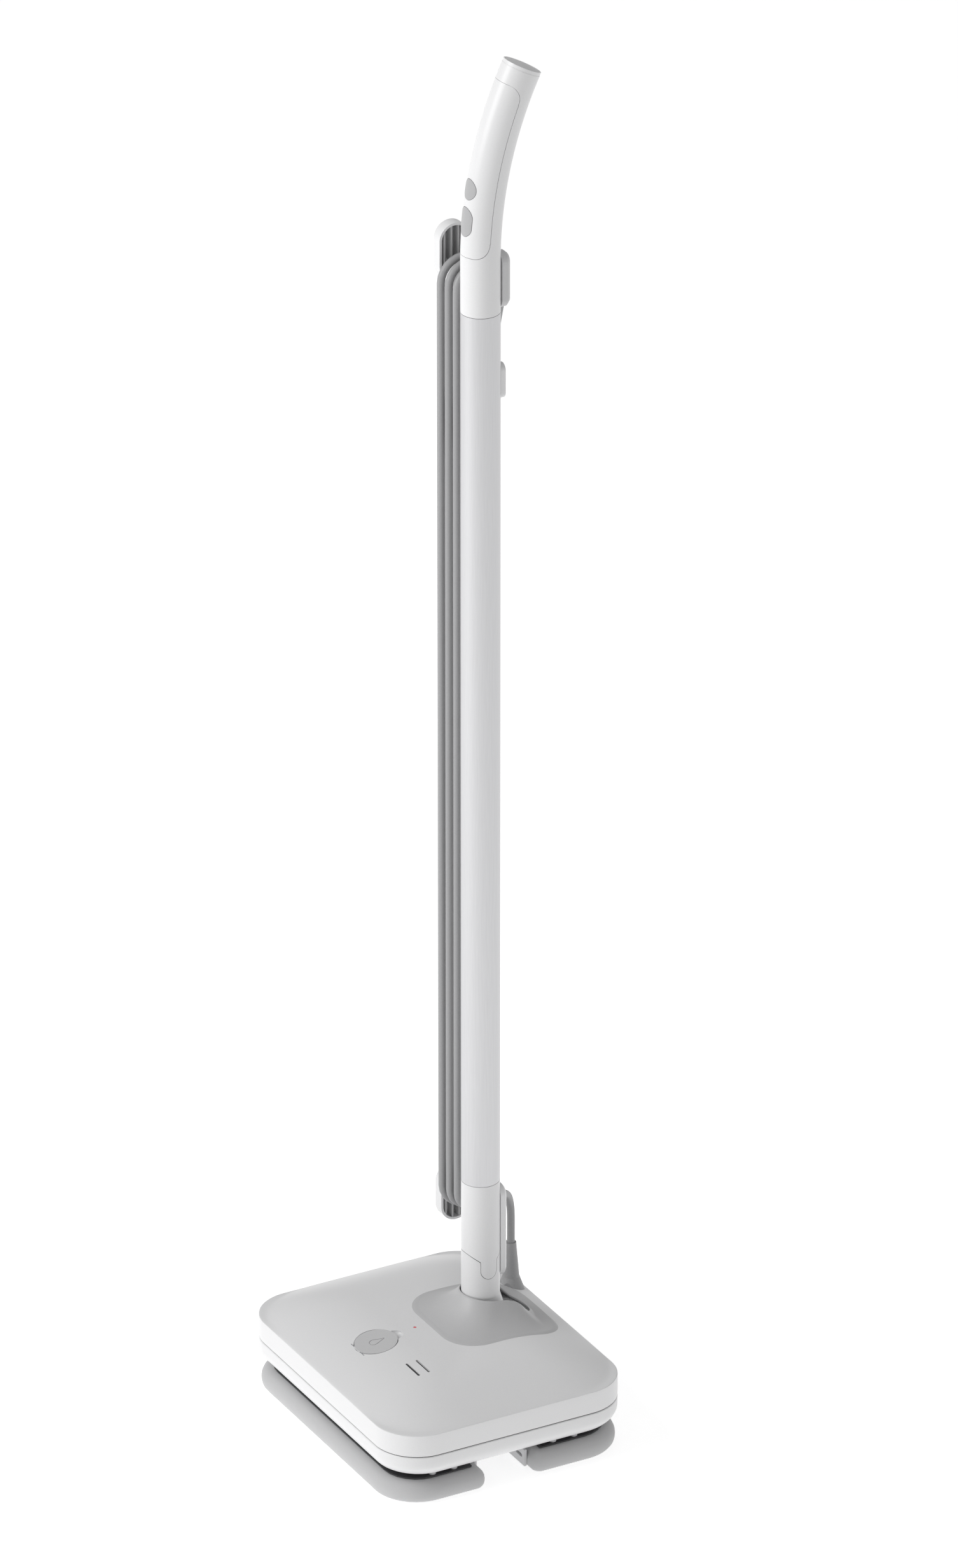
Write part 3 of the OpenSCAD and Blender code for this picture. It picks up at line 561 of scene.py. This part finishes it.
def pad_outline(inner_y, front, count=20):
    """Plan of a pad: wide corners at the head's end and small ones inside."""
    ro, ri = 39.5 * mm, 9 * mm
    side = -1 if front else 1
    points = []
    near = abs(inner_y) + ri
    for cx, r, a0, cy in ((PAD_X - ro, ro, 0, PAD_Y - ro), (ro - PAD_X, ro, 90, PAD_Y - ro),
                          (ri - PAD_X, ri, 180, near), (PAD_X - ri, ri, 270, near)):
        for s in range(count + 1):
            a = math.radians(a0 + 90 * s / count)
            points.append((cx + r * math.cos(a), side * (cy + r * math.sin(a))))
    filled = []
    for p, q in zip(points, points[1:] + points[:1]):
        gap = math.hypot(q[0] - p[0], q[1] - p[1])
        parts = max(1, int(gap / (5 * mm)))
        filled += [(p[0] + (q[0] - p[0]) * s / parts, p[1] + (q[1] - p[1]) * s / parts)
                   for s in range(parts)]
    return filled


def inset_outline(points, distance):
    """Moves each point of an outline inwards along its own normal."""
    count = len(points)
    area = sum(points[k][0] * points[(k + 1) % count][1] - points[(k + 1) % count][0] * points[k][1]
               for k in range(count))
    sign = 1 if area > 0 else -1
    moved = []
    for k in range(count):
        ax, ay = points[k - 1]
        bx, by = points[(k + 1) % count]
        tx, ty = bx - ax, by - ay
        n = math.hypot(tx, ty) or 1
        moved.append((points[k][0] - sign * ty / n * distance, points[k][1] + sign * tx / n * distance))
    return moved


def pad_piece(name, node, body, inner_y, front):
    outline = pad_outline(inner_y, front)
    # (inset, height) in mm, from the middle of the sole round the rim to the middle of the top
    profile = ((26, 0.0), (14, 0.0), (5.0, 0.2), (2.2, 1.4), (0.7, 3.4), (0.1, 5.6), (0.0, 8.0),
               (0.3, 10.4), (1.4, 13.0), (3.2, 15.3), (5.4, 16.9), (8.2, 17.7), (14, 17.9), (26, 17.9))
    rings = []
    middle_y = sum(p[1] for p in outline) / len(outline)
    for inset, z in profile:
        if inset < 9:
            ring = inset_outline(outline, inset * mm)
        else:
            f = 1 - inset * mm / (44 * mm)
            ring = [(x * (0.86 + 0.08 * f), middle_y + (y - middle_y) * f) for x, y in outline]
        rings.append(level(ring, z * mm))
    piece = lofted(name, rings)
    dress(piece, PAD, body)
    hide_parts(node)
    return piece


pad_piece("front_pad_cloth", "front_pad", "front_pad", -24.5 * mm, True)
pad_piece("rear_pad_cloth", "rear_pad", "rear_pad", 18.5 * mm, False)


# ---- rear cable ----------------------------------------------------------
def tube_mesh(name, route, radius, sides=20):
    rings = []
    previous = None
    for k, place in enumerate(route):
        place = Vector(place)
        ahead = Vector(route[min(k + 1, len(route) - 1)]) - Vector(route[max(k - 1, 0)])
        ahead.normalize()
        side = previous if previous is not None else ahead.orthogonal()
        side = (side - ahead * side.dot(ahead)).normalized()
        previous = side
        up = ahead.cross(side)
        rings.append([place + radius * (math.cos(2 * math.pi * s / sides) * side
                                        + math.sin(2 * math.pi * s / sides) * up) for s in range(sides)])
    return lofted(name, rings)


def smooth_route(points, per_span=6):
    """Catmull-Rom through the points."""
    made = []
    ends = [points[0]] + list(points) + [points[-1]]
    for k in range(1, len(ends) - 2):
        p0, p1, p2, p3 = (Vector(ends[k + j]) for j in (-1, 0, 1, 2))
        for s in range(per_span):
            t = s / per_span
            made.append(0.5 * ((2 * p1) + (p2 - p0) * t + (2 * p0 - 5 * p1 + 4 * p2 - p3) * t * t
                               + (3 * p1 - p0 - 3 * p2 + p3) * t ** 3))
    made.append(Vector(points[-1]))
    return made


REAR_LEAD = [(-6, 60, 179.8), (-12, 62.2, 178.7), (-17, 65.6, 177.2), (-23, 71.8, 174.2),
             (-29, 77.4, 170.6), (-35, 83, 165.8), (-40, 88, 160.5), (-43.8, 91.6, 154), (-46.5, 94, 147),
             (-47.7, 95.2, 139), (-48, 95.5, 130), (-48, 95.5, 120), (-48, 95.5, 110), (-48, 95.5, 103)]
rear = tube_mesh("rear_lead", smooth_route([tuple(v * mm for v in p) for p in REAR_LEAD]), CORD_R)
dress(rear, CORD, None)
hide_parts("rear_cable")
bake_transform(rear)


# ---- floor and light -----------------------------------------------------
floor_mat = material("floor_white", (0.90, 0.90, 0.90), 0.8, noise=40, vary=0.004, bump=0.01)
floor_shader = floor_mat.node_tree.nodes["Principled BSDF"]
floor_shader.inputs["Emission Color"].default_value = (1, 1, 1, 1)
floor_shader.inputs["Emission Strength"].default_value = 0.55
floor = mesh_object("floor", [(-9, -9, -0.0004), (9, -9, -0.0004), (9, 9, -0.0004), (-9, 9, -0.0004)],
                    [(0, 1, 2, 3)])
floor.data.materials.append(floor_mat)
world = bpy.data.worlds.new("studio")
bpy.context.scene.world = world
world.use_nodes = True
world.node_tree.nodes["Background"].inputs["Color"].default_value = (1, 1, 1, 1)
world.node_tree.nodes["Background"].inputs["Strength"].default_value = 0.42


def softbox(name, place, aim, size, power):
    data = bpy.data.lights.new(name, "AREA")
    data.shape = "RECTANGLE"
    data.size, data.size_y = size
    data.energy = power
    lamp = bpy.data.objects.new(name, data)
    bpy.context.scene.collection.objects.link(lamp)
    lamp.location = place
    lamp.rotation_euler = (Vector(aim) - Vector(place)).to_track_quat("-Z", "Y").to_euler()


softbox("key", (-0.6, -2.6, 2.2), (0, 0, 0.6), (1.6, 2.4), 56)
softbox("top", (0, 0, 3.2), (0, 0, 0), (2.2, 2.2), 8)

bpy.context.scene.view_settings.view_transform = "Standard"
